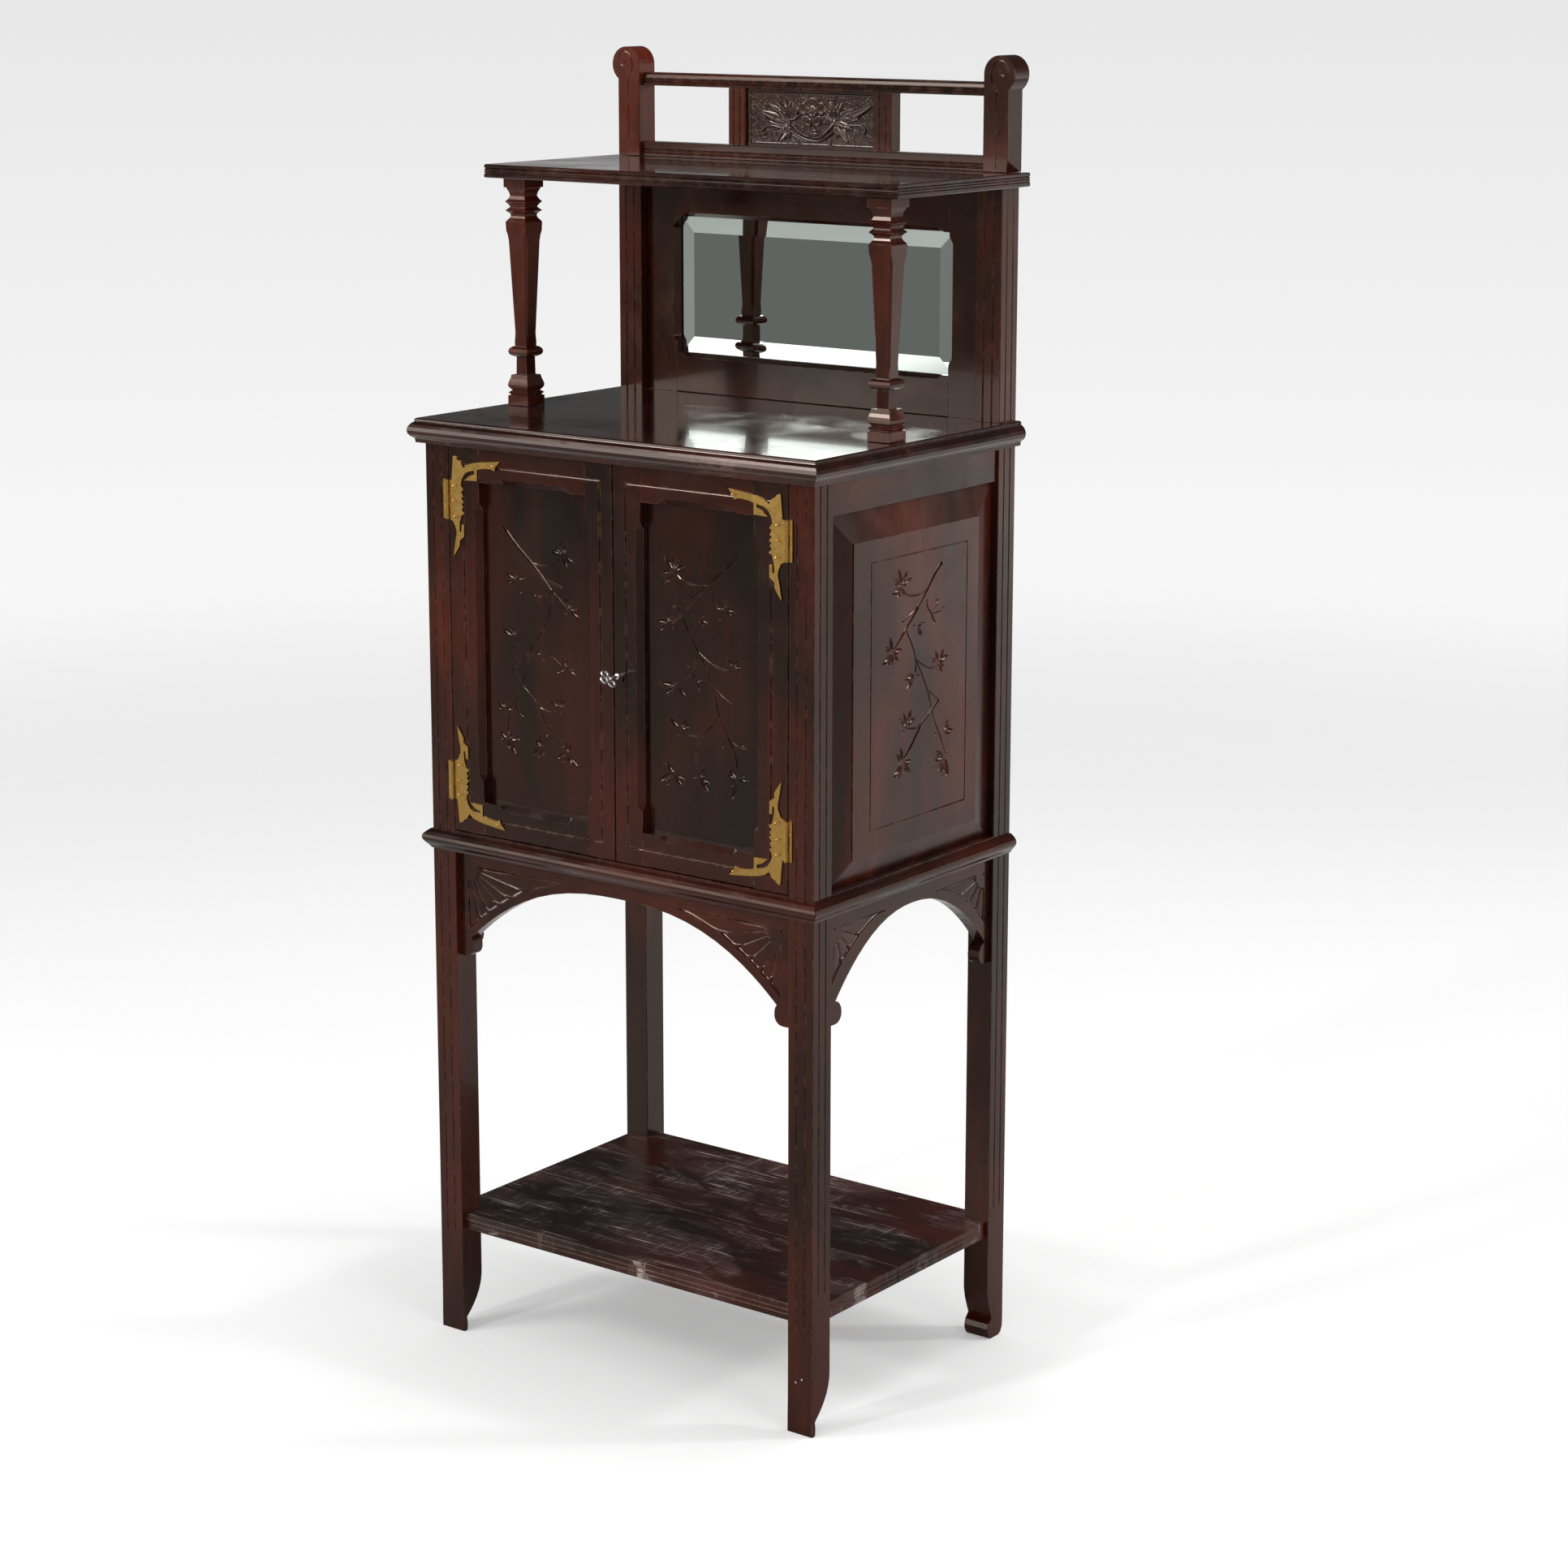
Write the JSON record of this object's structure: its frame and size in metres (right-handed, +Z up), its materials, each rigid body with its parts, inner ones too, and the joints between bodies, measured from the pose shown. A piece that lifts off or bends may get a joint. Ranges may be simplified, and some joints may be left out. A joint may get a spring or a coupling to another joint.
{
  "type": "mirror-back side cabinet",
  "caption": "Tall side cabinet on square legs with carved doors, arched aprons, a low shelf, and a mirrored back under an upper shelf with a pierced gallery.",
  "frame": {"origin": "on the floor, under the middle of the cabinet's bounding box, with the key in the lock", "axes": "+Z up, -Y out of the front (the doors), +X towards the viewer's right as seen from the front"},
  "size_m": [0.5834, 0.424, 1.5095],
  "materials": {
    "mahogany": "dark red-brown mahogany, french polished, worn paler on edges",
    "backing": "plain unpolished softwood, aged",
    "brass": "aged, dull in the recesses and bright on the rubbed edges",
    "steel": "old bright steel with slight tarnish",
    "mirror": "silvered glass with a wide polished bevel"
  },
  "bodies": {
    "case": {"leg_front_left": "mahogany", "leg_front_right": "mahogany", "leg_back_left": "mahogany", "leg_back_right": "mahogany", "top_board": "mahogany", "lower_shelf_front_board": "mahogany", "lower_shelf_back_board": "mahogany", "apron_front": "mahogany", "apron_left": "mahogany", "apron_right": "mahogany", "waist_moulding_front": "mahogany", "waist_moulding_left": "mahogany", "waist_moulding_right": "mahogany", "side_rail_left": "mahogany", "side_rail_right": "mahogany", "side_panel_left": "mahogany", "side_panel_right": "mahogany", "carcass_floor": "mahogany", "back_panel": "backing", "inner_shelf": "mahogany", "hinge_upper_left_post_leaf": "brass", "hinge_lower_left_post_leaf": "brass", "hinge_upper_right_post_leaf": "brass", "hinge_lower_right_post_leaf": "brass", "upper_post_left": "mahogany", "upper_post_right": "mahogany", "mirror_stile_left": "mahogany", "mirror_stile_right": "mahogany", "mirror_rail_top": "mahogany", "mirror_rail_bottom": "mahogany", "mirror_glass": "mirror", "mirror_backing": "backing", "upper_shelf": "mahogany", "baluster_left": "mahogany", "baluster_right": "mahogany", "gallery_post_left": "mahogany", "gallery_post_right": "mahogany", "gallery_rail_top": "mahogany", "gallery_rail_bottom": "mahogany", "gallery_muntin_left": "mahogany", "gallery_muntin_right": "mahogany", "gallery_panel": "mahogany"},
    "left_door": {"door_left_hinge_stile": "mahogany", "door_left_meeting_stile": "mahogany", "door_left_top_rail": "mahogany", "door_left_bottom_rail": "mahogany", "door_left_panel": "mahogany", "hinge_upper_left_door_leaf": "brass", "hinge_lower_left_door_leaf": "brass"},
    "right_door": {"door_right_hinge_stile": "mahogany", "door_right_meeting_stile": "mahogany", "door_right_top_rail": "mahogany", "door_right_bottom_rail": "mahogany", "door_right_panel": "mahogany", "hinge_upper_right_door_leaf": "brass", "hinge_lower_right_door_leaf": "brass", "lock_case": "steel"},
    "key": {"key": "steel"},
    "lock_bolt": {"lock_bolt": "brass"},
    "drop_bolt": {"drop_bolt": "brass"}
  },
  "joints": [
    {"name": "left_door_hinge", "type": "hinge", "parent": "case", "child": "left_door", "pos_m": [-0.2415, -0.1769, 0.8467], "axis": [0, 0, -1], "range_deg": [0, 165]},
    {"name": "right_door_hinge", "type": "hinge", "parent": "case", "child": "right_door", "pos_m": [0.2415, -0.1769, 0.8467], "axis": [0, 0, 1], "range_deg": [0, 165]},
    {"name": "key_turn", "type": "hinge", "parent": "right_door", "child": "key", "pos_m": [0.014, -0.174, 0.837], "axis": [0, -1, 0], "range_deg": [-46, 134]},
    {"name": "lock_bolt_throw", "type": "slide", "parent": "right_door", "child": "lock_bolt", "axis": [-1, 0, 0], "range_m": [-0.00204, 0.00595]},
    {"name": "drop_bolt_slide", "type": "slide", "parent": "left_door", "child": "drop_bolt", "axis": [0, 0, -1], "range_m": [0, 0.009]}
  ],
  "couplings": [
    {"joint": "key_turn", "follows": "lock_bolt_throw", "rad_per_m": 392.7}
  ]
}
